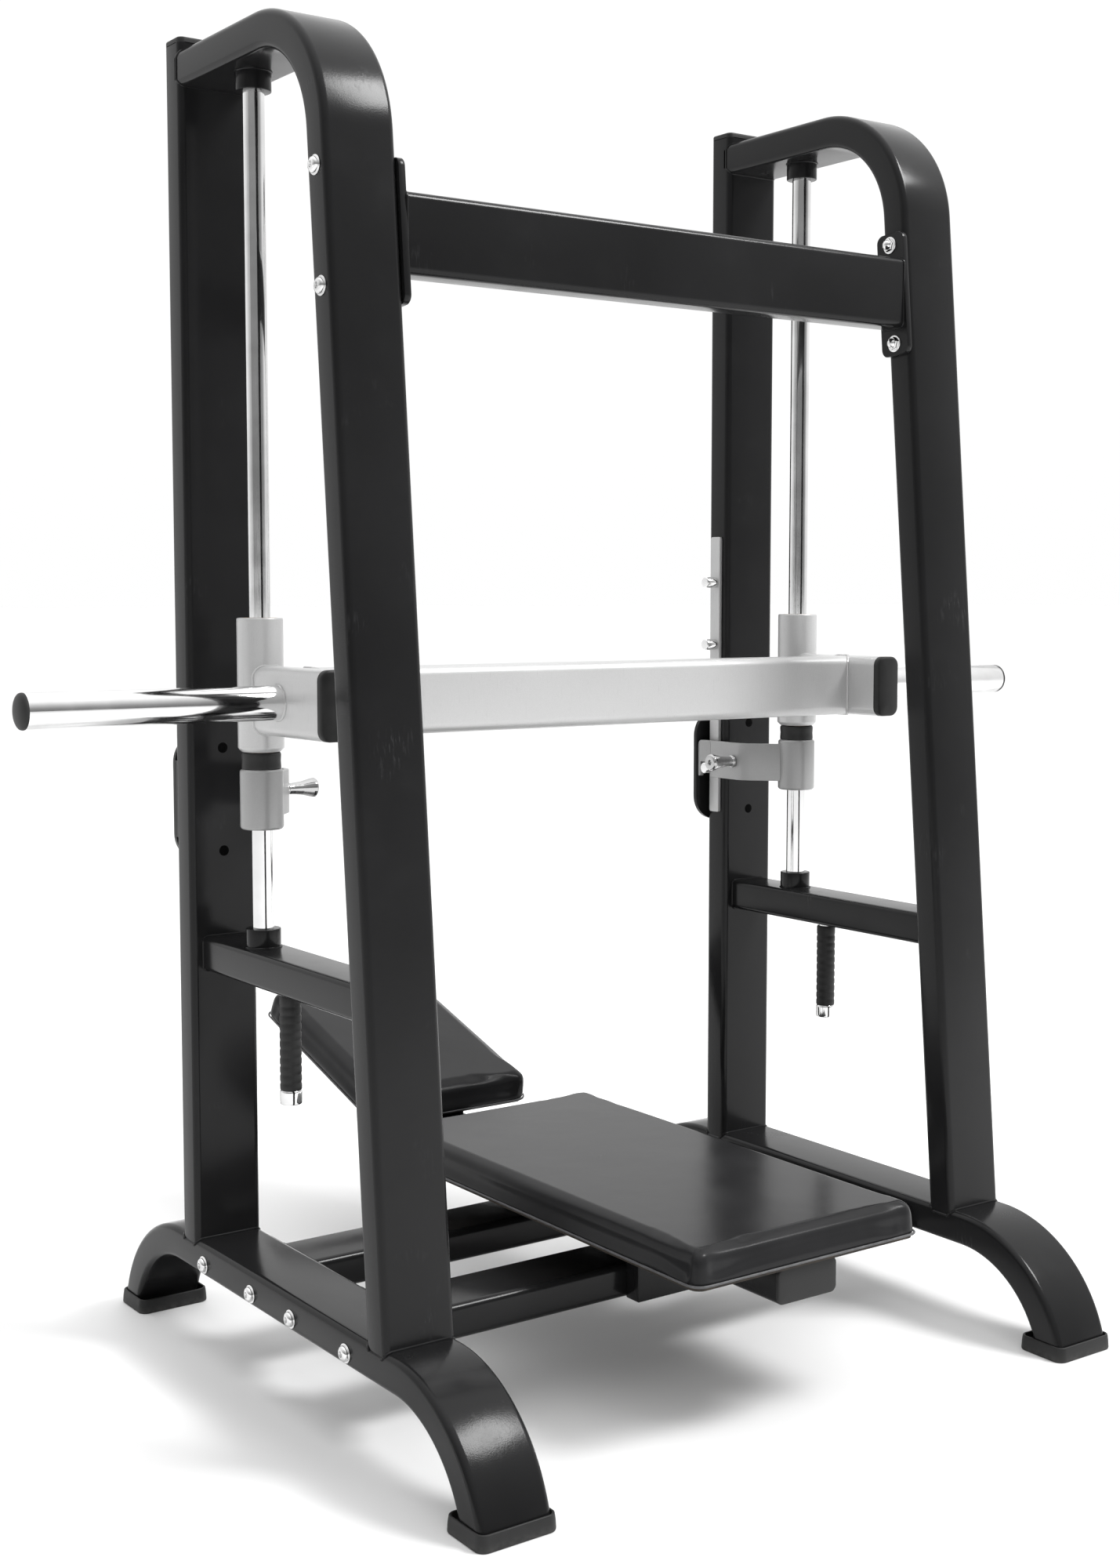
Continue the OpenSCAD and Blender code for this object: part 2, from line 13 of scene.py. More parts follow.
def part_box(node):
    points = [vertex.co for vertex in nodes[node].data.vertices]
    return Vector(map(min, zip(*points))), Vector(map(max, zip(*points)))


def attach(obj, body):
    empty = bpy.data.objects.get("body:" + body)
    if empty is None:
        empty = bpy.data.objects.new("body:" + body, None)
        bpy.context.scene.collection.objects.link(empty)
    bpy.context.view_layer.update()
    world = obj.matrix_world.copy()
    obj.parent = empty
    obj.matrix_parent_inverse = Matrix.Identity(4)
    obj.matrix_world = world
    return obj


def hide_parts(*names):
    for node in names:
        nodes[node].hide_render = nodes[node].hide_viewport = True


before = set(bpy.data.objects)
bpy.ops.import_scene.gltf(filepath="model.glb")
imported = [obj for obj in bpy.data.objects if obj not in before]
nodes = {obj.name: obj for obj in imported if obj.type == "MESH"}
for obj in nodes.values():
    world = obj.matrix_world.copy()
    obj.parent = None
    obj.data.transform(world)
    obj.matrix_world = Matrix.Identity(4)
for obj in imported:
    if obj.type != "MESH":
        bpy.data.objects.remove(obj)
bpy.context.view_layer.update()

# ---------------------------------------------------------------- sizes shared with the CAD
TUBE_W, TUBE_T, TUBE_R = 110.0, 52.0, 10.0  # main tube: width, depth, corner radius
SIDE_X = 528.0  # middle of a side frame
OUTER_X, INNER_X = SIDE_X + TUBE_W / 2, SIDE_X - TUBE_W / 2
REAR_Y, ROD_Y, GRIP_Y, HORN_Y = 284.0, 129.0, 47.0, 30.0
REAR_FACE, REAR_BACK = REAR_Y - TUBE_T / 2, REAR_Y + TUBE_T / 2
REAR_TOP = 1981.0  # top of the rear upright's tube
FOOT_Y, FOOT_Z, FOOT_MID_R, FOOT_SWEEP = 330.0, -38.0, 191.0, 79.0  # bend of each foot
RAIL_TOP = FOOT_Z + FOOT_MID_R + TUBE_T / 2
JOIN_Z = 168.6  # where the uprights enter the rounded top of the base rail
LEAN = math.radians(4.9002)
FRONT_Y0 = -303.0  # the leaning upright's centre line at floor level
ARCH_Z, ARCH_MID_R = 1769.0, 174.0  # bend of the arch
ARCH_TUBE_Z = 1943.0  # centre line of the arch's level run
TIE_W, TIE_H, TIE_Z = 75.0, 52.0, 624.0
ROD_R, BAR_Z = 16.0, 1017.0
CAP_Y = 504.5  # middle of a foot cap
PLATE_X, PLATE_Z, PLATE_T = 515.0, 859.0, 8.5  # bolted plate behind the rear upright
END_PLATE_X = INNER_X - 10.0  # inner face of the end plates between the side frames
BOLT_GAP = 158.0
FRAME_MID_Y = sum(c.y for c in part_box("left_rear_upright")) / 2 - REAR_Y / 1000
SIDES = (("left", -1), ("right", 1))
X, Y, Z = (1, 0, 0), (0, 1, 0), (0, 0, 1)
INWARD, FORWARD = (-1, 0, 0), (0, -1, 0)


def front_y(z):
    """Centre line of the leaning front upright."""
    return FRONT_Y0 + z * math.tan(LEAN)


ARCH_Y = front_y(ARCH_Z) + ARCH_MID_R / math.cos(LEAN)


def place(p):
    """A point in the row frame, in metres."""
    return Vector((p[0] / 1000, p[1] / 1000 + FRAME_MID_Y, p[2] / 1000))


# ---------------------------------------------------------------- node trees
def feed(tree, value, socket):
    """Links a node's output to a socket, or sets a constant on it."""
    if isinstance(value, bpy.types.NodeSocket):
        tree.links.new(value, socket)
    elif isinstance(value, tuple) and socket.type == "RGBA":
        socket.default_value = (*value, 1.0)
    else:
        socket.default_value = value


def math_node(tree, op, a, b):
    """A Math node with both operands fed in; returns its result socket."""
    n = tree.nodes.new("ShaderNodeMath")
    n.operation = op
    for socket, value in zip(n.inputs, (a, b)):
        feed(tree, value, socket)
    return n.outputs[0]


# ---------------------------------------------------------------- materials
class Shader:
    """A node material under construction."""

    def __init__(self, name, **sockets):
        self.mat = bpy.data.materials.new(name)
        self.mat.use_nodes = True
        self.tree = self.mat.node_tree
        self.bsdf = self.tree.nodes["Principled BSDF"]
        for key, value in sockets.items():
            self.bsdf.inputs[key.replace("_", " ")].default_value = value
        self.coord = self.tree.nodes.new("ShaderNodeTexCoord").outputs["Object"]

    def node(self, kind, inputs=None, **props):
        n = self.tree.nodes.new("ShaderNode" + kind)
        for key, value in props.items():
            setattr(n, key, value)
        for key, value in (inputs or {}).items():
            feed(self.tree, value, n.inputs[key])
        return n

    def scaled(self, scale):
        return self.node("Mapping", {"Vector": self.coord, "Scale": scale}).outputs["Vector"]

    def noise(self, scale, detail=3.0, stretch=None):
        vector = self.scaled(stretch) if stretch else self.coord
        return self.node("TexNoise", {"Vector": vector, "Scale": scale,
                                      "Detail": detail}).outputs["Fac"]

    def cells(self, scale, feature="F1"):
        n = self.node("TexVoronoi", {"Vector": self.coord, "Scale": scale}, feature=feature)
        return n.outputs["Distance"]

    def ramp(self, fac, low, high, at=(0.0, 1.0)):
        n = self.node("ValToRGB", {"Fac": fac})
        for stop, colour, pos in zip(n.color_ramp.elements, (low, high), at):
            stop.color = (*colour, 1.0) if isinstance(colour, tuple) else (colour,) * 3 + (1.0,)
            stop.position = pos
        return n.outputs["Color"]

    def span(self, fac, low, high, start=0.0, end=1.0):
        return self.node("MapRange", {"Value": fac, "From Min": start, "From Max": end,
                                      "To Min": low, "To Max": high}).outputs["Result"]

    def math(self, op, a, b):
        return math_node(self.tree, op, a, b)

    def mix(self, fac, a, b):
        """Mixes two colours; 0, 6 and 7 are the node's factor and its colour inputs."""
        n = self.node("Mix", data_type="RGBA")
        for index, value in ((0, fac), (6, a), (7, b)):
            feed(self.tree, value, n.inputs[index])
        return n.outputs[2]

    def height(self):
        """Height over the floor, in metres, where the object coordinates are the row frame."""
        return self.node("SeparateXYZ", {"Vector": self.coord}).outputs["Z"]

    def bumps(self, *layers):
        """Each layer is (height, strength, depth in metres)."""
        normal = None
        for height, strength, depth in layers:
            inputs = {"Height": height, "Strength": strength, "Distance": depth}
            if normal:
                inputs["Normal"] = normal
            normal = self.node("Bump", inputs).outputs["Normal"]
        self.set(Normal=normal)

    def set(self, **links):
        for key, value in links.items():
            self.tree.links.new(value, self.bsdf.inputs[key.replace("_", " ")])


def frame_paint():
    """Gloss black powder coat: orange peel, faint cloudiness, hand marks and a few scuffs."""
    s = Shader("frame_paint", Specular_IOR_Level=0.18)
    cloud = s.noise(3.0, 4.0)
    scuff = s.math("MULTIPLY", s.span(s.noise(9.0, 6.0), 0, 1, 0.62, 0.74),
                   s.span(s.noise(260.0, 2.0, (1, 1, 0.15)), 0, 1, 0.52, 0.62))
    base = s.ramp(cloud, (0.009, 0.009, 0.0093), (0.013, 0.013, 0.0135), (0.3, 0.7))
    s.set(Base_Color=s.mix(s.math("MULTIPLY", scuff, 0.22), base, (0.06, 0.06, 0.062)))
    hands = s.span(s.noise(16.0, 5.0), 0.0, 0.07, 0.5, 0.75)
    rough = s.math("ADD", s.span(cloud, 0.14, 0.20, 0.3, 0.7), hands)
    s.set(Roughness=s.math("ADD", rough, s.math("MULTIPLY", scuff, 0.15)))
    s.bumps((s.noise(520.0, 1.0), 0.10, 0.0006), (s.noise(60.0, 2.0), 0.05, 0.001))
    return s.mat


def silver_paint(name, tone):
    """Satin silver powder coat with a fine metal flake."""
    s = Shader(name, Metallic=0.3, Specular_IOR_Level=0.5)
    flake = s.cells(1900.0)
    base = s.ramp(flake, (tone * 0.9,) * 3, (tone * 1.1,) * 3, (0.1, 0.7))
    dull = s.noise(5.0, 4.0)
    marks = s.span(s.noise(420.0, 2.0, (1.0, 1.0, 0.08)), 0, 1, 0.64, 0.72)
    s.set(Base_Color=s.mix(s.math("MULTIPLY", marks, 0.25), base, (0.36, 0.36, 0.365)))
    s.set(Roughness=s.math("ADD", s.span(dull, 0.30, 0.40, 0.3, 0.7),
                           s.math("MULTIPLY", marks, 0.1)))
    s.bumps((s.noise(700.0, 1.0), 0.08, 0.0005), (flake, 0.05, 0.0003))
    return s.mat


def chrome(name, along, rubbed, tone=0.8):
    """Polished chrome with fine lines along one axis (0, 1, 2) and some rubbed haze."""
    s = Shader(name, Metallic=1.0)
    stretch = [1.0, 1.0, 1.0]
    stretch[along] = 0.02
    lines = s.noise(900.0, 2.0, tuple(stretch))
    haze = s.noise(14.0, 5.0)
    s.set(Base_Color=s.ramp(haze, tone * 0.83, tone, (0.3, 0.6)))
    wear = s.span(haze, 0.0, 0.05 + rubbed, 0.45, 0.75)
    s.set(Roughness=s.math("ADD", s.span(lines, 0.05, 0.11, 0.3, 0.7), wear))
    s.bumps((lines, 0.02 + 0.1 * rubbed, 0.0004), (s.noise(35.0, 2.0), 0.02, 0.001))
    return s.mat


def rubber(name, dusty=False):
    """Moulded black rubber; the feet carry a little floor dust."""
    s = Shader(name, Specular_IOR_Level=0.3)
    grain = s.noise(900.0, 2.0)
    patch = s.noise(30.0, 4.0)
    base = s.ramp(patch, (0.012, 0.012, 0.012), (0.022, 0.022, 0.022), (0.3, 0.7))
    if dusty:
        low = s.span(s.height(), 0.9, 0.0, 0.0, 0.012)
        dust = s.math("MULTIPLY", low, s.span(s.noise(120.0, 4.0), 0.1, 0.6, 0.4, 0.6))
        base = s.mix(dust, base, (0.07, 0.068, 0.065))
    s.set(Base_Color=base, Roughness=s.span(patch, 0.42, 0.6, 0.3, 0.7))
    s.bumps((grain, 0.18, 0.0004), (s.noise(150.0, 2.0), 0.06, 0.0008))
    return s.mat


def vinyl():
    """Glossy upholstery vinyl: pebble grain, soft dips in the foam, polished contact areas."""
    s = Shader("pad_vinyl", Specular_IOR_Level=0.12, Coat_Weight=0.04, Coat_Roughness=0.3)
    pebble = s.cells(620.0, "SMOOTH_F1")
    fine = s.noise(1400.0, 2.0)
    patch = s.noise(7.0, 4.0)
    s.set(Base_Color=s.ramp(patch, (0.012, 0.012, 0.0125), (0.020, 0.020, 0.021), (0.3, 0.7)))
    s.set(Roughness=s.math("ADD", s.span(patch, 0.18, 0.25, 0.3, 0.7),
                           s.span(pebble, -0.01, 0.03, 0.2, 0.8)))
    s.bumps((pebble, 0.08, 0.0006), (fine, 0.04, 0.0003), (s.noise(11.0, 2.0), 0.12, 0.004))
    return s.mat


def bore_shade():
    """Painted shade: near-black for the unlit inside of a bolt hole, with a trace of primer."""
    s = Shader("bore_painted_shade", Specular_IOR_Level=0.05, Roughness=0.9)
    s.set(Base_Color=s.ramp(s.noise(200.0), (0.0008, 0.0008, 0.0008), (0.002, 0.002, 0.002)))
    s.bumps((s.noise(300.0), 0.1, 0.0003))
    return s.mat


def piping():
    """The same vinyl rolled over a cord, in a lighter tone with random patches."""
    s = Shader("pad_piping", Specular_IOR_Level=0.5)
    patch = s.noise(90.0, 3.0)
    s.set(Base_Color=s.ramp(patch, (0.05, 0.05, 0.052), (0.10, 0.10, 0.104), (0.3, 0.7)))
    s.set(Roughness=s.span(patch, 0.35, 0.5, 0.3, 0.7))
    s.bumps((s.cells(900.0), 0.15, 0.0004))
    return s.mat


def plywood():
    """Black-stained plywood under the pads, with its grain and the glue lines of its edge."""
    s = Shader("board_wood", Specular_IOR_Level=0.35)
    grain = s.noise(60.0, 6.0, (1.0, 0.06, 1.0))
    plies = s.node("TexWave", {"Vector": s.coord, "Scale": 220.0, "Distortion": 0.6},
                   bands_direction="Z").outputs["Fac"]
    base = s.ramp(grain, (0.018, 0.014, 0.011), (0.06, 0.048, 0.036), (0.35, 0.65))
    s.set(Base_Color=s.mix(s.math("MULTIPLY", plies, 0.3), base, (0.02, 0.015, 0.012)))
    s.set(Roughness=s.span(grain, 0.55, 0.75, 0.3, 0.7))
    s.bumps((grain, 0.3, 0.0008))
    return s.mat


def bronze():
    """Machined bearing bronze with turning marks and a film of grease."""
    s = Shader("bush_bronze", Metallic=1.0)
    turn = s.noise(300.0, 2.0, (0.1, 0.1, 8.0))
    s.set(Base_Color=s.ramp(turn, (0.42, 0.27, 0.12), (0.62, 0.43, 0.21), (0.3, 0.7)))
    s.set(Roughness=s.span(s.noise(40.0, 3.0), 0.22, 0.4, 0.3, 0.7))
    s.bumps((turn, 0.15, 0.0004))
    return s.mat


PAINT = frame_paint()
# the safety stops get a darker copy of the silver paint, partly painted shade for the shade under
# the carriage housing
SILVER, SHADED_STOP_SILVER = silver_paint("silver_paint", 0.50), silver_paint("stop_silver_painted_shade", 0.32)
CHROME_X, CHROME_Z = chrome("chrome_horn", 0, 0.10), chrome("chrome_rod", 2, 0.02)
CHROME_BOLT = chrome("chrome_fastener", 1, 0.04)
STOP_CHROME = chrome("chrome_handle", 0, 0.35, 0.5)
RUBBER, FOOT_RUBBER = rubber("moulded_rubber"), rubber("foot_rubber", dusty=True)
VINYL, PIPING, WOOD, BRONZE, BORE_SHADE = vinyl(), piping(), plywood(), bronze(), bore_shade()


# ---------------------------------------------------------------- mesh building
def linked(name, data):
    """A new object in the scene."""
    obj = bpy.data.objects.new(name, data)
    bpy.context.scene.collection.objects.link(obj)
    return obj


def outward(mesh, bevel=0.0):
    """Turns every face outward and eases the sharp edges by a bevel in millimetres."""
    bm = bmesh.new()
    bm.from_mesh(mesh)
    bmesh.ops.recalc_face_normals(bm, faces=bm.faces)
    if bevel:
        sharp = [e for e in bm.edges if len(e.link_faces) == 2
                 and e.calc_face_angle(0.0) > math.radians(40)]
        bmesh.ops.bevel(bm, geom=sharp, offset=bevel / 1000, segments=3, profile=0.5,
                        affect="EDGES", clamp_overlap=True)
    bm.to_mesh(mesh)
    bm.free()


def arc(*degrees):
    """(cosine, sine) at each angle."""
    return [(math.cos(math.radians(a)), math.sin(math.radians(a))) for a in degrees]


def circle(count):
    """(cosine, sine) at equal steps round a full turn."""
    return [(math.cos(t), math.sin(t)) for t in (math.tau * i / count for i in range(count))]


class Shape:
    """Points and faces in millimetres, gathered before they become one object."""

    def __init__(self):
        self.verts, self.faces = [], []

    def add(self, verts, faces):
        base = len(self.verts)
        self.verts += [tuple(v) for v in verts]
        self.faces += [tuple(base + i for i in f) for f in faces]

    def rings(self, rings, closed=False):
        """Skins rings of equal length; closed joins the last ring to the first, and otherwise
        both ends are filled."""
        n = len(rings[0])
        faces = []
        for k in range(len(rings) if closed else len(rings) - 1):
            a, b = k * n, (k + 1) % len(rings) * n
            faces += [(a + i, a + (i + 1) % n, b + (i + 1) % n, b + i) for i in range(n)]
        if not closed:
            faces += [tuple(range(n)), tuple((len(rings) - 1) * n + i for i in range(n))]
        self.add([p for ring in rings for p in ring], faces)

    def lathe(self, origin, axis, profile, segments=48):
        """Turns (radius, distance) pairs about an axis; both ends are closed flat."""
        axis = Vector(axis).normalized()
        side = axis.orthogonal().normalized()
        other = axis.cross(side)
        origin, turn = Vector(origin), circle(segments)
        self.rings([[origin + axis * d + (side * c + other * s) * max(r, 0.05) for c, s in turn]
                    for r, d in profile])

    def object(self, name, mat, body, replaces=(), mirror=False, bevel=0.0, angle=35.0):
        """Edges sharper than the angle stay sharp; replaces names the CAD nodes it stands for."""
        mesh = bpy.data.meshes.new(name)
        flip = -1 if mirror else 1
        mesh.from_pydata([place((flip * x, y, z)) for x, y, z in self.verts], [], self.faces)
        outward(mesh, bevel)
        mesh.shade_smooth()
        mesh.set_sharp_from_angle(angle=math.radians(angle))
        mesh.materials.append(mat)
        obj = linked(name, mesh)
        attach(obj, body)
        if replaces:
            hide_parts(*replaces)
        return obj


def both(name, mat, body, make, replaces="", **options):
    """The same shape for the right side and, mirrored, for the left."""
    for side, s in SIDES:
        shape = Shape()
        make(shape)
        stands_for = [f"{side}_{n}" for n in replaces.split()]
        shape.object(f"{side}_{name}", mat, body.replace("SIDE", side), stands_for,
                     mirror=s < 0, **options)


def paired(name, mat, body, make, replaces, **options):
    """One object that holds the shape on both sides, for a CAD node that covers both."""
    shape = Shape()
    make(shape)
    shape.add([(-x, y, z) for x, y, z in shape.verts], list(shape.faces))
    shape.object(name, mat, body, replaces.split(), **options)


def rounded(w, h, r, n=7):
    """Outline of a rounded rectangle, w along the first axis and h along the second."""
    out = []
    for cx, cy, start in ((1, 1, 0), (-1, 1, 90), (-1, -1, 180), (1, -1, 270)):
        for i in range(n + 1):
            t = math.radians(start + 90 * i / n)
            out.append((cx * (w / 2 - r) + r * math.cos(t), cy * (h / 2 - r) + r * math.sin(t)))
    return out


def soft(profile, r):
    """Rounds the inner corners of a profile with a short curve."""
    out = [profile[0]]
    for a, p, b in zip(profile, profile[1:], profile[2:]):
        a, p, b = Vector(a), Vector(p), Vector(b)
        step_in = (a - p).normalized() * min(r, (a - p).length * 0.45)
        step_out = (b - p).normalized() * min(r, (b - p).length * 0.45)
        for t in (0.0, 0.33, 0.67, 1.0):
            out.append(tuple((p + step_in) * (1 - t) ** 2 + p * 2 * t * (1 - t)
                             + (p + step_out) * t ** 2))
    return out + [profile[-1]]


def section(centre, u, v, outline):
    """The outline laid in the plane of u and v."""
    centre, u, v = Vector(centre), Vector(u), Vector(v)
    return [centre + u * a + v * b for a, b in outline]


MAIN = rounded(TUBE_W, TUBE_T, TUBE_R)
MAIN_ON_EDGE = rounded(TUBE_T, TUBE_W, TUBE_R)
TIE = rounded(TIE_W, TIE_H, 8)


def box_tube(shape, start, end, u, v, outline):
    """A straight tube between two points, with closed ends."""
    shape.rings([section(start, u, v, outline), section(end, u, v, outline)])


def plug(shape, face, out, u, v, w, h, r, depth, crown, edge=3.0):
    """A moulded end cap: straight sides, a rounded edge and a slightly crowned face."""
    out, face = Vector(out), Vector(face)
    steps = [(0.0, 0.0), (depth - edge, 0.0)]
    steps += [(depth - edge + edge * s, edge * (1 - c)) for c, s in arc(22, 45, 67, 90)]
    steps += [(depth + crown * 0.6, edge + 6), (depth + crown, edge + 14)]
    rings = []
    for d, inset in steps:
        inset = min(inset, min(w, h) / 2 - 2)
        rings.append(section(face + out * d, u, v,
                             rounded(w - 2 * inset, h - 2 * inset, max(r - inset, 0.8), 6)))
    shape.rings(rings)


ASLANT = Vector((0.37, 0.53, 0.76))  # a direction that no weld runs along


def bead(shape, path, r=2.4, pitch=3.2, sides=6):
    """A rippled weld bead along a closed path."""
    pts = [Vector(p) for p in path]
    dense = []
    for a, b in zip(pts, pts[1:] + pts[:1]):
        steps = max(1, round((b - a).length / (pitch / 3)))
        dense += [a.lerp(b, i / steps) for i in range(steps)]
    rings, run, count = [], 0.0, len(dense)
    for i, p in enumerate(dense):
        tangent = (dense[(i + 1) % count] - dense[i - 1]).normalized()
        side = tangent.cross(ASLANT).normalized()
        other = tangent.cross(side)
        swell = r * (1 + 0.10 * math.sin(2 * math.pi * run / pitch))
        rings.append([p + (side * c + other * s) * swell for c, s in circle(sides)])
        run += (p - dense[i - 1]).length if i else 0.0
    shape.rings(rings, closed=True)


def fall(offset, flat, r):
    """How far a rounded edge of radius r has dropped, offset from the middle."""
    over = min(max(abs(offset) - flat, 0.0), r)
    return r - math.sqrt(r * r - over * over)


def prism(shape, outline, axis, low, high):
    """Extrudes (a, b) points along axis 0, 1 or 2, with a and b on the other two in order."""
    rings = []
    for d in (low, high):
        ring = []
        for a, b in outline:
            p = [a, b]
            p.insert(axis, d)
            ring.append(tuple(p))
        rings.append(ring)
    shape.rings(rings)


# ---------------------------------------------------------------- side frames
UP = (0, math.sin(LEAN), math.cos(LEAN))  # along the leaning upright
ACROSS = (0, math.cos(LEAN), -math.sin(LEAN))  # out of its rear face
SOCKET_R, SOCKETS = 26, ((650, 678), (1889, 1917))
GRIP_R, GRIP_LOW, GRIP_TOP = 12.5, 430, 599
SLEEVE_R, SLEEVE_LOW, SLEEVE_TOP = 16, 451.2, 591.5


def base_rail(shape):
    rings, inside_cap = [], 6.0
    for end in (-1, 1):
        sweep = [FOOT_SWEEP * (1 - i / 30) for i in range(31)]
        for phi in map(math.radians, sweep if end < 0 else sweep[::-1]):
            out = (0, end * math.sin(phi), math.cos(phi))
            mid = (SIDE_X, end * FOOT_Y + FOOT_MID_R * out[1], FOOT_Z + FOOT_MID_R * out[2])
            rings.append([(p.x, p.y, max(p.z, inside_cap)) for p in section(mid, X, out, MAIN)])
    shape.rings(rings)


def foot_caps(shape):
    width, depth, corner = 121, 87, 15
    levels = soft([(0, 9), (0, 1.2), (2, 0), (14, 0.8), (23, 2.2), (23, 5.5), (13, 6.4), (12, 11)],
                  1.6)  # (height, inset) up the outside and down into the cup
    for end in (-1, 1):
        shape.rings([section((SIDE_X, end * CAP_Y, z), X, Y, rounded(
            width - 2 * i, depth - 2 * i, max(corner - i, 5), 8)) for z, i in levels])


def arch(shape):
    rings = [section((SIDE_X, front_y(JOIN_Z), JOIN_Z), X, ACROSS, MAIN)]
    steps = 36
    for i in range(steps + 1):
        phi = (math.pi / 2 - LEAN) * (1 - i / steps)
        out = (0, -math.sin(phi), math.cos(phi))
        mid = (SIDE_X, ARCH_Y + ARCH_MID_R * out[1], ARCH_Z + ARCH_MID_R * out[2])
        rings.append(section(mid, X, (0, -out[1], -out[2]), MAIN))
    rings.append(section((SIDE_X, REAR_Y - 10, ARCH_TUBE_Z), X, (0, 0, -1), MAIN))
    shape.rings(rings)


def rear_upright(shape):
    box_tube(shape, (SIDE_X, REAR_Y, JOIN_Z), (SIDE_X, REAR_Y, REAR_TOP), X, Y, MAIN)


def upright_caps(shape):
    plug(shape, (SIDE_X, REAR_Y, REAR_TOP - 1), Z, X, Y, TUBE_W, TUBE_T, TUBE_R, 8.8, crown=1.2)


def tie(shape):
    box_tube(shape, (SIDE_X, front_y(TIE_Z) + 10, TIE_Z), (SIDE_X, REAR_Y - 20, TIE_Z), X, Z, TIE)


def frame_welds(shape):
    def drop(dx):
        return fall(dx, TUBE_W / 2 - TUBE_R, TUBE_R)

    # the welds run a little outside the tubes they close
    seam = [(SIDE_X + dx * 1.004, dy, RAIL_TOP + 0.3 - drop(dx)) for dx, dy in MAIN]
    bead(shape, [(x, REAR_Y + dy, z) for x, dy, z in seam])
    bead(shape, [(x, front_y(z) + dy / math.cos(LEAN), z) for x, dy, z in seam])
    bead(shape, [(SIDE_X + dx * 1.004, REAR_FACE + drop(dx), ARCH_TUBE_Z + dz * 1.01)
                 for dx, dz in MAIN], 1.6)
    bead(shape, [(SIDE_X + a, REAR_FACE - 0.3, TIE_Z + b) for a, b in TIE], 2.0)
    bead(shape, [(SIDE_X + a, front_y(TIE_Z + b) + TUBE_T / 2 + 0.4, TIE_Z + b)
                 for a, b in TIE], 2.0)
    # a filler between the bolted plate and the rounded corner of the upright
    prism(shape, [(563, 311), (582.6, 311), (582.6, 294), (578, 300)], 2, 800, 918)
    for z in (SOCKETS[0][0] + 0.3, SOCKETS[1][1] - 0.3):
        bead(shape, [(SIDE_X + SOCKET_R * c, ROD_Y + SOCKET_R * s, z) for c, s in circle(40)], 1.8)
    bead(shape, [(SIDE_X + 12.7 * c, GRIP_Y + 12.7 * s, GRIP_TOP - 1.3) for c, s in circle(40)],
         1.5)


def socket(shape):
    for low, high in SOCKETS:
        shape.lathe((SIDE_X, ROD_Y, 0), Z, soft(
            [(2, low), (SOCKET_R, low), (SOCKET_R, high), (2, high)], 1.5))


def plate(shape, face, out, u, v, outline, depth, edge=0.8):
    """A flat plate with eased edges, standing out of a face."""
    face, out = Vector(face), Vector(out)
    rings = []
    for d, inset in ((0, edge), (edge, 0), (depth - edge, 0), (depth, edge)):
        ring = []
        for a, b in outline:
            shrink = 1 - inset / max(abs(a), abs(b))
            ring.append((a * shrink, b * shrink))
        rings.append(section(face + out * d, u, v, ring))
    shape.rings(rings)


def rear_plate(shape):
    plate(shape, (PLATE_X, REAR_BACK, PLATE_Z), Y, X, Z, rounded(136, 200, 45, 14), PLATE_T)


def bore_shade_discs(shape):
    """Painted shade: near-black discs on the front of the upright where the rear plate's bolt holes
    are, standing in for the shade inside the holes.
    """
    for dz in (-BOLT_GAP / 2, BOLT_GAP / 2):
        shape.lathe((SIDE_X, REAR_FACE - 0.2, PLATE_Z + dz), FORWARD,
                    [(8, -2), (8, 0), (7.4, 0.3), (2, 0.1)], 32)


RACK_T, PEGS, PEG_Z, PEG_PITCH = 6, 4, 857, 112


def rack_strip(shape):
    plate(shape, (INNER_X, REAR_Y, 1025.5), INWARD, Y, Z, rounded(24, 499, 3, 3), RACK_T, 0.6)


def rack_pegs(shape):
    for i in range(PEGS):
        shape.lathe((INNER_X - RACK_T, REAR_Y, PEG_Z + PEG_PITCH * i), INWARD,
                    soft([(2, -1), (10, -1), (10, 24), (2, 24)], 2.5), 36)


def grip_bar(shape):
    """The bar and its hollow ferrule."""
    shape.lathe((SIDE_X, GRIP_Y, 0), Z, [(GRIP_R, GRIP_LOW + 20), (GRIP_R, GRIP_TOP)])
    ferrule = [(2, 3), (8, 3), (8.5, 0), (15.6, 0), (16, 4), (16, 18.5), (15.2, 21), (2, 21)]
    shape.lathe((SIDE_X, GRIP_Y, 0), Z, soft([(r, GRIP_LOW + z) for r, z in ferrule], 1.2))


def grip_sleeve(shape):
    inner, groove_r = GRIP_R - 0.1, 15.3
    profile = [(inner, SLEEVE_LOW), (15.2, SLEEVE_LOW), (SLEEVE_R, SLEEVE_LOW + 1.3)]
    grooves, low, high = 10, 462.0, 575.0
    for i in range(grooves):
        z = low + (high - low) * i / (grooves - 1)
        profile += [(SLEEVE_R, z - 3), (groove_r, z - 1.2), (groove_r, z + 1.2), (SLEEVE_R, z + 3)]
    profile += [(SLEEVE_R, SLEEVE_TOP - 2.5), (15, SLEEVE_TOP), (inner, SLEEVE_TOP)]
    shape.lathe((SIDE_X, GRIP_Y, 0), Z, profile)


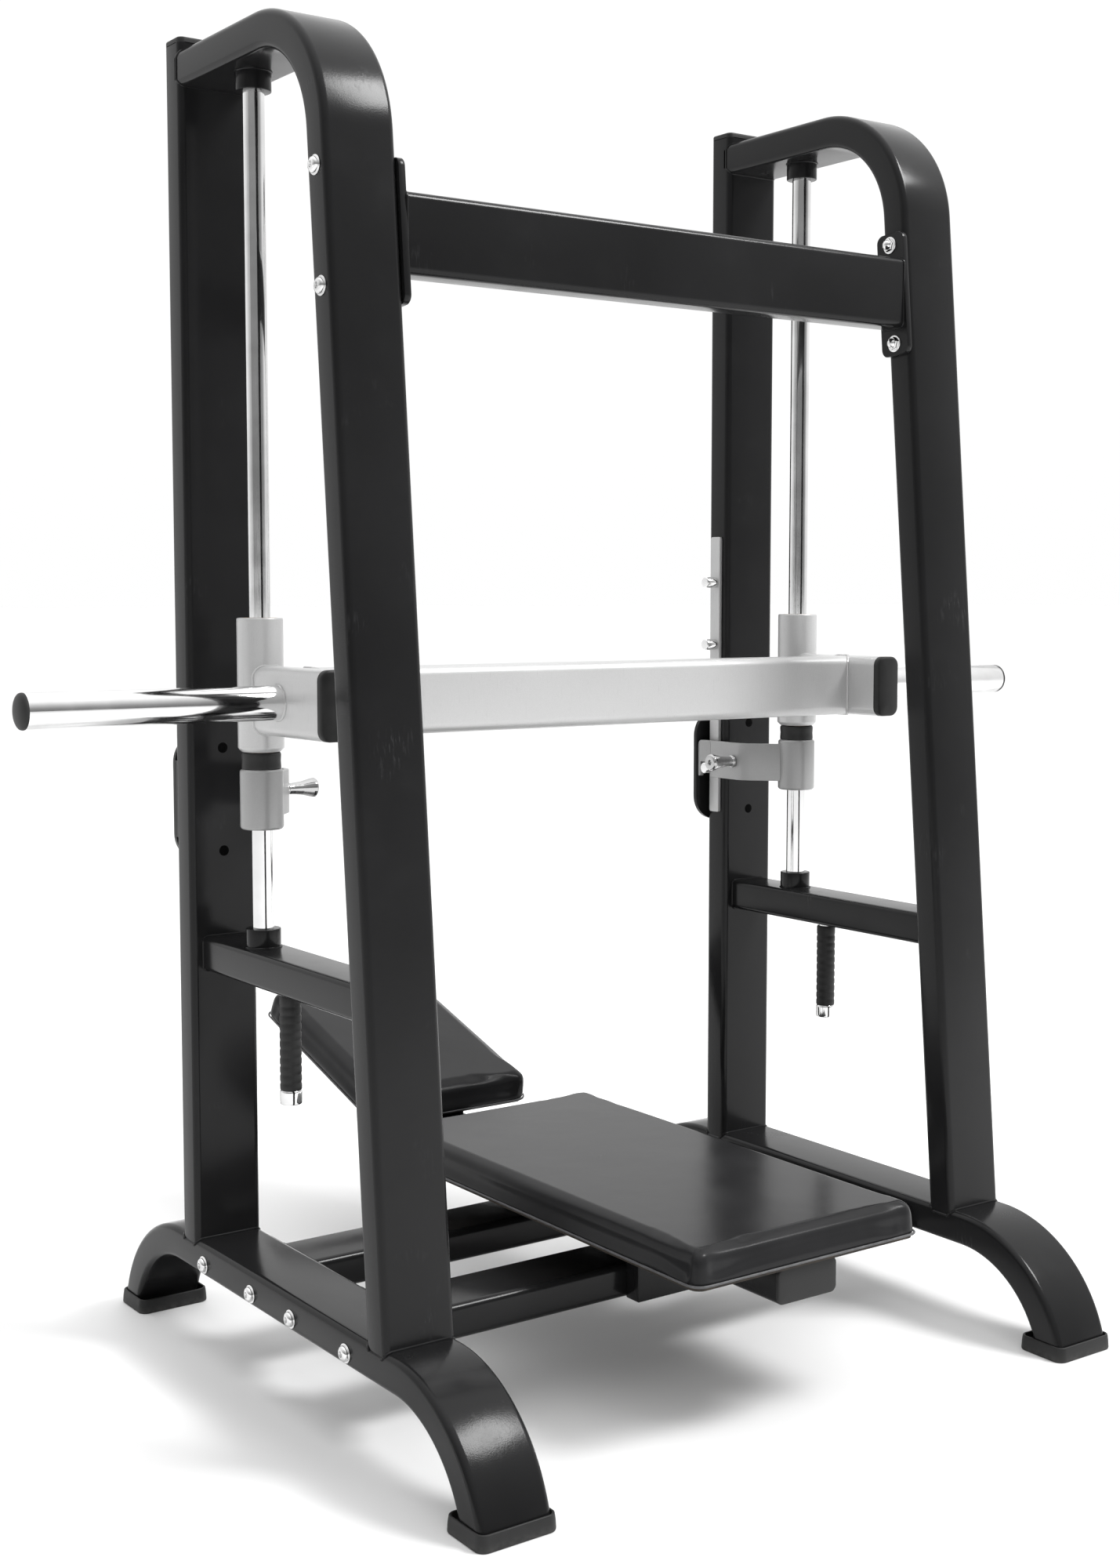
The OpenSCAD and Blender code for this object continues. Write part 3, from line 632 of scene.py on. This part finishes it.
both("base_rail_tube", PAINT, "frame", base_rail, "base_rail", angle=60)
both("foot_cap_pair", FOOT_RUBBER, "frame", foot_caps, "foot_caps", angle=50)
both("arch_tube", PAINT, "frame", arch, "arch", angle=60)
both("rear_upright_tube", PAINT, "frame", rear_upright, "rear_upright", angle=60)
paired("upright_end_caps", RUBBER, "frame", upright_caps, "upright_caps", angle=50)
both("tie_tube", PAINT, "frame", tie, "tie", angle=60)
both("frame_weld_beads", PAINT, "frame", frame_welds)
both("rod_socket_pair", PAINT, "frame", socket, "rod_sockets")
both("guide_rod_bar", CHROME_Z, "frame", lambda s: s.lathe(
    (SIDE_X, ROD_Y, 0), Z, [(ROD_R, 651), (ROD_R, 1916)], 64), "guide_rod")
both("rear_plate_steel", PAINT, "frame", rear_plate, "rear_plate")
# painted shade: near-black discs on the upright's front for the bolt holes
both("bolt_bore_shade_discs", BORE_SHADE, "frame", bore_shade_discs)
both("rack_strip_steel", SILVER, "frame", rack_strip, "rack_strip")
paired("rack_peg_set", CHROME_BOLT, "frame", rack_pegs, "rack_pegs")
both("grip_bar_steel", CHROME_Z, "frame", grip_bar, "grip_bar")
both("grip_sleeve_rubber", RUBBER, "frame", grip_sleeve, "grip_sleeve", angle=50)


# ---------------------------------------------------------------- frame between the sides
BEAM_Z = 1653.0
BEAM_Y = front_y(BEAM_Z)
CROSS_Z, CROSS_BOLT_Z = 140.0, 147.0
CROSS_YS = (155.0, -128.0)  # rear and front


def button_bolt(shape, face, out):
    """Button head with a hex socket on a washer, standing out of a face."""
    face, out = Vector(face), Vector(out)
    shape.lathe(face, out, soft([(4, 0), (13.5, 0), (13.5, 1.8), (4, 1.8)], 0.6), 40)
    dome = [(11 * s, 4 + 5 * c) for c, s in arc(90, 75, 60, 48, 38, 31)]
    hollow = [(4.3, dome[-1][1] + 0.1), (3.6, 5), (1, 4.6)]
    shape.lathe(face, out, [(4, 1.6), (11, 1.6)] + dome + hollow, 40)


def acorn_nut(shape, face, out):
    """Domed nut on a washer, standing out of a face."""
    face, out = Vector(face), Vector(out)
    u = out.orthogonal().normalized()
    v = out.cross(u)
    shape.lathe(face, out, soft([(4, 0), (13.5, 0), (13.5, 1.6), (4, 1.6)], 0.6), 40)
    hexagon = [(10.6 * c, 10.6 * s) for c, s in circle(6)]
    ease = [(a * 0.93, b * 0.93) for a, b in hexagon]
    shape.rings([section(face + out * 1.6, u, v, hexagon), section(face + out * 6, u, v, hexagon),
                 section(face + out * 7, u, v, ease)])
    dome = [(8 * c, 7 + 6 * s) for c, s in arc(0, 20, 40, 60, 78, 89)]
    shape.lathe(face, out, [(8, 6)] + dome, 32)


def beam_bolts(shape):
    for dz in (-BOLT_GAP / 2, BOLT_GAP / 2):
        y, z = BEAM_Y + UP[1] * dz, BEAM_Z + UP[2] * dz
        button_bolt(shape, (OUTER_X, y, z), X)
        acorn_nut(shape, (END_PLATE_X, y, z), INWARD)


def frame_bolts(shape):
    for y in CROSS_YS:
        for dy in (-BOLT_GAP / 2, BOLT_GAP / 2):
            button_bolt(shape, (OUTER_X, y + dy, CROSS_BOLT_Z), X)
            acorn_nut(shape, (END_PLATE_X, y + dy, CROSS_BOLT_Z), INWARD)
    for dz in (-BOLT_GAP / 2, BOLT_GAP / 2):
        button_bolt(shape, (SIDE_X, REAR_BACK + PLATE_T, PLATE_Z + dz), Y)


def beam_plates(shape):
    plate(shape, (END_PLATE_X, BEAM_Y, BEAM_Z), X, ACROSS, UP, rounded(58, 196, 12, 6), 10)


def cross_plates(shape):
    for y in CROSS_YS:
        plate(shape, (END_PLATE_X, y, CROSS_Z), X, Y, Z, rounded(200, 56, 14, 6), 10)


def middle(name, mat, make, replaces="", body="frame", **options):
    """One object that lies across the middle."""
    shape = Shape()
    make(shape)
    shape.object(name, mat, body, replaces.split(), **options)


def cross_welds(shape):
    x = END_PLATE_X - 0.4
    bead(shape, [(x, BEAM_Y + a, BEAM_Z + b) for a, b in MAIN_ON_EDGE], 2.0)
    for y in CROSS_YS:
        bead(shape, [(x, y + a, CROSS_Z + b) for a, b in MAIN], 2.0)


middle("crossbeam_tube", PAINT, lambda s: box_tube(
    s, (-END_PLATE_X, BEAM_Y, BEAM_Z), (END_PLATE_X, BEAM_Y, BEAM_Z), Y, Z, MAIN_ON_EDGE),
    "crossbeam", angle=60)
paired("crossbeam_end_plates", PAINT, "frame", beam_plates, "crossbeam_plates")
paired("crossbeam_fasteners", CHROME_BOLT, "frame", beam_bolts, "crossbeam_bolts")
paired("base_fasteners", CHROME_BOLT, "frame", frame_bolts, "frame_bolts")
for which, cross_y in zip(("rear", "front"), CROSS_YS):
    middle(f"{which}_cross_tube_steel", PAINT, lambda s: box_tube(
        s, (-END_PLATE_X, cross_y, CROSS_Z), (END_PLATE_X, cross_y, CROSS_Z), Y, Z, MAIN),
        f"{which}_cross_tube", angle=60)
paired("cross_tube_end_plates", PAINT, "frame", cross_plates, "cross_tube_plates")
both("cross_weld_beads", PAINT, "frame", cross_welds)


# ---------------------------------------------------------------- bench frame
SPINE_Z = 210.0
SPINE_LOW, SPINE_TOP = SPINE_Z - TUBE_T / 2, SPINE_Z + TUBE_T / 2
SPINE_FRONT, SPINE_REAR = -484.0, 634.0  # the tube without its end plugs
CROSS_TOP = CROSS_Z + TUBE_T / 2
CROSS_FACE = CROSS_YS[1] - TUBE_W / 2  # front of the front cross tube
BACK_Y, BACK_Z, BACK_SLOPE = 442.3, 247.5, math.radians(17.6)  # lower edge of the inclined board
BACK_LEN = 430.0


def spine(shape):
    box_tube(shape, (0, SPINE_FRONT, SPINE_Z), (0, SPINE_REAR, SPINE_Z), X, Z, MAIN)


def spine_plugs(shape):
    for y, out in ((SPINE_FRONT, FORWARD), (SPINE_REAR, Y)):
        plug(shape, (0, y, SPINE_Z), out, X, Z, TUBE_W, TUBE_T, TUBE_R, 5.2, crown=0.8, edge=2.5)


def block(shape, half_w, low, high, front, rear):
    prism(shape, [(-half_w, low), (half_w, low), (half_w, high), (-half_w, high)], 1, front, rear)


def front_bracket(shape):
    block(shape, 88, 115, SPINE_LOW, -214, CROSS_FACE)
    block(shape, TUBE_W / 2, CROSS_TOP, SPINE_LOW, CROSS_FACE, CROSS_FACE + 92)


def rear_block(shape):
    block(shape, TUBE_W / 2, CROSS_TOP, SPINE_LOW, 115, 195)


def back_bracket(shape):
    """Two webs on the spine and the sloped plate that the board lies on."""
    def line(y):
        return BACK_Z + (y - BACK_Y) * math.tan(BACK_SLOPE)
    front, rear, web_t, plate_t = BACK_Y + 20, SPINE_REAR - 4, 8, 6
    top = [(rear, line(rear)), (front, line(front))]
    for x in (-32, 32):
        prism(shape, [(front, SPINE_TOP), (rear, SPINE_TOP)] + top, 0, x - web_t / 2, x + web_t / 2)
    prism(shape, [(y, z - plate_t) for y, z in top[::-1]] + top, 0, -42, 42)


middle("bench_spine_tube", PAINT, spine, "bench_spine", angle=60)
middle("bench_spine_plugs", RUBBER, spine_plugs, angle=50)
middle("front_bracket_steel", PAINT, front_bracket, "front_saddle", bevel=2.0)
middle("rear_block_steel", PAINT, rear_block, "rear_saddle", bevel=1.5)
middle("backrest_bracket_steel", PAINT, back_bracket, "backrest_bracket", bevel=1.0)


# ---------------------------------------------------------------- carriage
ARM_W, ARM_H, ARM_R = 48, 100, 15
ARM_FRONT, ARM_REAR = -88, 112
ARM = rounded(ARM_W, ARM_H, ARM_R)
FOOT_BAR = rounded(50, ARM_H, ARM_R)
HOUSING_R, HORN_R = 34, 25


def side_arm(shape):
    box_tube(shape, (SIDE_X, ARM_FRONT, BAR_Z), (SIDE_X, ARM_REAR, BAR_Z), X, Z, ARM)


def housing(shape):
    shape.lathe((SIDE_X, ROD_Y, 0), Z, soft(
        [(25, 940.2), (28, 940.2), (HOUSING_R, 946), (HOUSING_R, 1135.5), (32.5, 1137),
         (25, 1136.8)], 1.6), 72)


def carriage_welds(shape):
    """Beads at the housing, at the foot bar and at the weight horn."""
    reach = HOUSING_R + 0.2
    bead(shape, [(SIDE_X + a, ROD_Y - math.sqrt(reach ** 2 - a * a), BAR_Z + b) for a, b in ARM],
         2.2)
    inner, outer, horn_r = SIDE_X - ARM_W / 2 - 0.4, SIDE_X + ARM_W / 2 + 0.4, HORN_R + 0.3
    bead(shape, [(inner + fall(b, ARM_H / 2 - ARM_R, ARM_R), a, BAR_Z + b) for a, b in FOOT_BAR],
         2.2)
    bead(shape, [(outer, HORN_Y + horn_r * c, BAR_Z + horn_r * s) for c, s in circle(48)], 2.2)


def horn_cap(shape):
    dome = [(HORN_R * s, 928 + 7.9 * c) for c, s in arc(90, 78, 66, 54, 42, 30, 18, 8)]
    shape.lathe((0, HORN_Y, BAR_Z), X, [(20, 920), (24.6, 924), (25.2, 926.2)] + dome, 48)


both("side_arm_tube", SILVER, "carriage", side_arm, "side_arm", angle=60)
both("bearing_housing_shell", SILVER, "carriage", housing, "bearing_housing")
both("weight_horn_bar", CHROME_X, "carriage", lambda s: s.lathe(
    (0, HORN_Y, BAR_Z), X, [(HORN_R, 550), (HORN_R, 925), (24.4, 926)], 72), "weight_horn")
paired("horn_end_caps", RUBBER, "carriage", horn_cap, "horn_caps", angle=50)
paired("arm_end_caps", RUBBER, "carriage", lambda s: plug(
    s, (SIDE_X, ARM_FRONT, BAR_Z), FORWARD, X, Z, ARM_W, ARM_H, ARM_R, 10.8, crown=1.2, edge=4.0),
    "arm_caps", angle=50)
both("carriage_weld_beads", SILVER, "carriage", carriage_welds)
middle("foot_bar_tube", SILVER, lambda s: box_tube(
    s, (-512, 0, BAR_Z), (512, 0, BAR_Z), Y, Z, FOOT_BAR), "foot_bar", "carriage", angle=60)


# ---------------------------------------------------------------- safety stops
COLLAR_LOW, COLLAR_TOP, COLLAR_R = 826, 915, 32
HOOK_X, HOOK_HALF = 454.0, 4.0  # middle plane and half the thickness of the hook's flat bar
HOOK_LOW, HOOK_HIGH, PEG_TOP = 841.0, 907.0, 867.3


def collar(shape):
    shape.lathe((SIDE_X, ROD_Y, 0), Z, soft(
        [(17, COLLAR_LOW), (29, COLLAR_LOW), (COLLAR_R, COLLAR_LOW + 3),
         (COLLAR_R, COLLAR_TOP - 3), (29, COLLAR_TOP), (17, COLLAR_TOP)], 1.6), 72)


def bumper(shape):
    waist = [(18, 0), (28.6, 0), (29, 3), (28.4, 12), (29, 21), (28, 24.3), (18, 24.3)]
    shape.lathe((SIDE_X, ROD_Y, 0), Z, soft([(r, COLLAR_TOP + z) for r, z in waist], 1.2), 64)


def hook(shape):
    """Flat bar: it leaves the collar at 45 degrees, runs back, and ends in the notched hook."""
    turn, bend_y, nose_y, nose_end = 12.0, 187.0, 274.0, 309.0
    a, c, b = (Vector((HOOK_X + dx, bend_y + dy)) for dx, dy in ((turn, -turn), (0, 0), (0, turn)))
    path = [(504.0, 137.0)]
    for t in (i / 6 for i in range(7)):
        path.append(tuple(a * (1 - t) ** 2 + c * 2 * t * (1 - t) + b * t * t))
    path.append((HOOK_X, nose_y))
    rings = []
    for i, p in enumerate(path):
        before, after = path[max(i - 1, 0)], path[min(i + 1, len(path) - 1)]
        run = (Vector(after) - Vector(before)).normalized()
        side = Vector((-run.y, run.x)) * HOOK_HALF
        rings.append([(p[0] + side.x * k, p[1] + side.y * k, z) for k, z in (
            (1, HOOK_LOW), (1, HOOK_HIGH), (-1, HOOK_HIGH), (-1, HOOK_LOW))])
    shape.rings(rings)
    corner, tip, notch_end = 9.0, HOOK_LOW + 2, nose_end - 7
    nose = [(nose_y, PEG_TOP), (notch_end, PEG_TOP), (notch_end, tip), (nose_end - 5, HOOK_LOW),
            (nose_end - 2, HOOK_LOW), (nose_end, tip)]
    nose += [(nose_end - corner + corner * c, HOOK_HIGH - corner + corner * s)
             for c, s in arc(*range(0, 91, 15))]
    nose += [(nose_y, HOOK_HIGH)]
    prism(shape, nose, 0, HOOK_X - HOOK_HALF, HOOK_X + HOOK_HALF)


def knob(shape):
    """Flared pull handle; its wide end, with a small hollow, faces the machine's middle."""
    shape.lathe((395, 210, 874), X, soft([(1, 5), (4, 5), (4.2, 0.6), (5.5, 0), (12.5, 0), (15, 3),
                                         (14.2, 9), (10.5, 24), (9, 37), (8.6, 41), (8.6, 48),
                                         (11, 49), (11, 55), (2, 55)], 1.4), 56)


both("stop_collar_body", SHADED_STOP_SILVER, "SIDE_stop", collar, "stop_collar")
both("stop_bumper_ring", RUBBER, "SIDE_stop", bumper, "stop_bumper")
both("hook_arm_bar", SHADED_STOP_SILVER, "SIDE_stop", hook, "hook_arm", bevel=0.9)
both("pull_knob", STOP_CHROME, "SIDE_stop", knob, "stop_knob")


# ---------------------------------------------------------------- pads
def cushion(name, width, length, low, high, r):
    """A foam pad in vinyl: a rounded slab that is inflated by cloth simulation, then trimmed
    back to its own space."""
    inset, edge = 2.0, 15.0
    levels = [(low, inset + 1.5), (low + 2, inset)]
    levels += [(high - edge + edge * s, inset + edge * (1 - c) * 0.8)
               for c, s in arc(0, 18, 36, 54, 72, 88)]
    shape = Shape()
    shape.rings([section((0, 0, z), X, Y, rounded(width - 2 * i, length - 2 * i,
                                                  max(r - i, 6), 8)) for z, i in levels])
    mesh = bpy.data.meshes.new(name)
    mesh.from_pydata([Vector(v) / 1000 for v in shape.verts], [], shape.faces)
    outward(mesh)
    obj = linked(name, mesh)
    voxel = obj.modifiers.new("voxels", "REMESH")
    voxel.mode, voxel.voxel_size, voxel.use_smooth_shade = "VOXEL", 0.006, True
    bake(obj)
    inflate(obj, low / 1000)
    smooth = obj.modifiers.new("smooth", "SMOOTH")
    smooth.factor, smooth.iterations = 0.5, 4
    subdivide = obj.modifiers.new("subdivide", "SUBSURF")
    subdivide.levels = subdivide.render_levels = 1
    bake(obj)
    floor, top = low / 1000, high / 1000 + 0.002  # the crown may stand 2 mm proud
    for v in obj.data.vertices:
        v.co.z = min(max(v.co.z, floor), top)
        v.co.x = max(-width / 2000, min(width / 2000, v.co.x))
        v.co.y = max(-length / 2000, min(length / 2000, v.co.y))
    return obj


def bake(obj):
    """Applies every modifier to the mesh."""
    deps = bpy.context.evaluated_depsgraph_get()
    deps.update()
    mesh = bpy.data.meshes.new_from_object(obj.evaluated_get(deps))
    obj.modifiers.clear()
    old, obj.data = obj.data, mesh
    bpy.data.meshes.remove(old)


INFLATE_FRAMES, INFLATE_LIMIT = 20, 0.006  # the limit is in metres


def inflate(obj, floor):
    """Lets cloth pressure fill the pad; the base stays on its board and no point moves far."""
    start = [v.co.copy() for v in obj.data.vertices]
    held = obj.vertex_groups.new(name="board")
    held.add([v.index for v in obj.data.vertices if v.co.z < floor + 0.004], 1.0, "REPLACE")
    cloth = obj.modifiers.new("cloth", "CLOTH")
    cloth.settings.use_pressure = True
    cloth.settings.uniform_pressure_force = 2.5
    cloth.settings.effector_weights.gravity = 0.0
    cloth.settings.vertex_group_mass = "board"
    cloth.settings.quality = 4
    cloth.point_cache.frame_start, cloth.point_cache.frame_end = 1, INFLATE_FRAMES
    scene = bpy.context.scene
    for f in range(1, INFLATE_FRAMES + 1):
        scene.frame_set(f)
    deps = bpy.context.evaluated_depsgraph_get()
    moved = [v.co.copy() for v in obj.evaluated_get(deps).data.vertices]
    obj.modifiers.clear()
    scene.frame_set(1)
    for v, a, b in zip(obj.data.vertices, start, moved):
        step = b - a
        v.co = a + step * (min(step.length, INFLATE_LIMIT) / max(step.length, 1e-9))


def pad(name, node, width, length, low, high, r, home):
    """The cushion in its place, and the piping round its lower edge."""
    obj = cushion(name, width, length, low, high, r)
    obj.data.transform(home)
    obj.data.shade_smooth()
    obj.data.materials.clear()
    obj.data.materials.append(VINYL)
    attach(obj, "frame")
    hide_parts(node)
    cord = Shape()
    bead(cord, [(a, b, low + 3.0) for a, b in rounded(width - 3, length - 3, r - 1.5, 10)],
         r=1.7, pitch=40.0, sides=8)
    line = bpy.data.meshes.new(name + "_piping")
    line.from_pydata([home @ (Vector(v) / 1000) for v in cord.verts], [], cord.faces)
    line.shade_smooth()
    line.materials.append(PIPING)
    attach(linked(name + "_piping", line), "frame")


SEAT_FRONT, SEAT_LEN = -501, 829
seat_home = Matrix.Translation(place((0, SEAT_FRONT + SEAT_LEN / 2, SPINE_TOP)))
pad("seat_cushion", "seat_pad", width=424, length=SEAT_LEN, low=4, high=52, r=22, home=seat_home)
back_home = (Matrix.Translation(place((0, BACK_Y, BACK_Z))) @ Matrix.Rotation(BACK_SLOPE, 4, "X")
             @ Matrix.Translation((0, BACK_LEN / 2000, 0)))
pad("back_cushion", "back_pad", width=326, length=BACK_LEN, low=4, high=54, r=22, home=back_home)

# CAD nodes that stay as they are, with their finished materials
for names, mat in (("seat_board back_board", WOOD), ("pad_screws", CHROME_BOLT),
                   ("left_bushes right_bushes", BRONZE)):
    for n in names.split():
        nodes[n].data.materials.clear()
        nodes[n].data.materials.append(mat)

# ---------------------------------------------------------------- floor, lights and camera
scene = bpy.context.scene
FLOOR_HALF = 200  # metres, so that its edge lies at the horizon
floor_mesh = bpy.data.meshes.new("floor")
floor_mesh.from_pydata([(x * FLOOR_HALF, y * FLOOR_HALF, 0)
                        for x, y in ((-1, -1), (1, -1), (1, 1), (-1, 1))], [], [(0, 1, 2, 3)])
floor_obj = linked("floor", floor_mesh)
pale = Shader("floor_pale", Specular_IOR_Level=0.2)
pale.set(Base_Color=pale.ramp(pale.noise(1.5, 3.0), (0.86, 0.86, 0.86), (0.88, 0.88, 0.88)))
pale.bsdf.inputs["Roughness"].default_value = 0.7
floor_mesh.materials.append(pale.mat)

world = bpy.data.worlds.new("studio")
scene.world = world
world.use_nodes = True
tree = world.node_tree
HEADING = (0.58, 0.815)  # X and Y of the direction from the camera to the machine

# a studio that is pale behind the machine, dim behind the camera and bright overhead
split = tree.nodes.new("ShaderNodeSeparateXYZ")
tree.links.new(tree.nodes.new("ShaderNodeTexCoord").outputs["Generated"], split.inputs[0])
around = tree.nodes.new("ShaderNodeMapRange")
around.inputs["From Min"].default_value, around.inputs["From Max"].default_value = -0.5, 0.25
around.inputs["To Min"].default_value, around.inputs["To Max"].default_value = 0.24, 1.0
around.interpolation_type = "SMOOTHSTEP"
away = math_node(tree, "ADD", math_node(tree, "MULTIPLY", split.outputs["X"], HEADING[0]),
                 math_node(tree, "MULTIPLY", split.outputs["Y"], HEADING[1]))
tree.links.new(away, around.inputs["Value"])
over = math_node(tree, "POWER", math_node(tree, "MAXIMUM", split.outputs["Z"], 0.0), 2.0)
level = math_node(tree, "ADD", math_node(tree, "MULTIPLY", around.outputs["Result"],
                                         math_node(tree, "SUBTRACT", 1.0, over)),
                  math_node(tree, "MULTIPLY", over, 1.75))
tree.links.new(level, tree.nodes["Background"].inputs["Color"])
tree.nodes["Background"].inputs["Strength"].default_value = 1.0


def area_light(name, where, target, size, power):
    """A rectangle of light; where and target are in metres, power in watts."""
    light = bpy.data.lights.new(name, "AREA")
    light.shape, light.size, light.size_y, light.energy = "RECTANGLE", *size, power
    obj = linked(name, light)
    obj.location = where
    obj.rotation_euler = (Vector(target) - Vector(where)).to_track_quat("-Z", "Y").to_euler()


area_light("front_box", (3.7, -4.0, 7.0), (0, 0, 1.0), (2.8, 2.4), 560)
area_light("left_soft", (-4.5, 0.8, 2.2), (0, 0, 1.0), (2.5, 3.0), 6)

# the photo's camera, solved from the straight edges of the side frames
camera = bpy.data.cameras.new("camera")
camera.lens = 45.94
camera.shift_y = -0.0147
eye = place((-1872, -2522, 1168))
yaw, pitch = math.radians(35.4), math.radians(-4.70)
view = Vector((math.sin(yaw) * math.cos(pitch), math.cos(yaw) * math.cos(pitch), math.sin(pitch)))
camera_obj = linked("camera", camera)
camera_obj.location = eye
camera_obj.rotation_euler = view.to_track_quat("-Z", "Y").to_euler()
scene.camera = camera_obj
scene.view_settings.view_transform = "Standard"
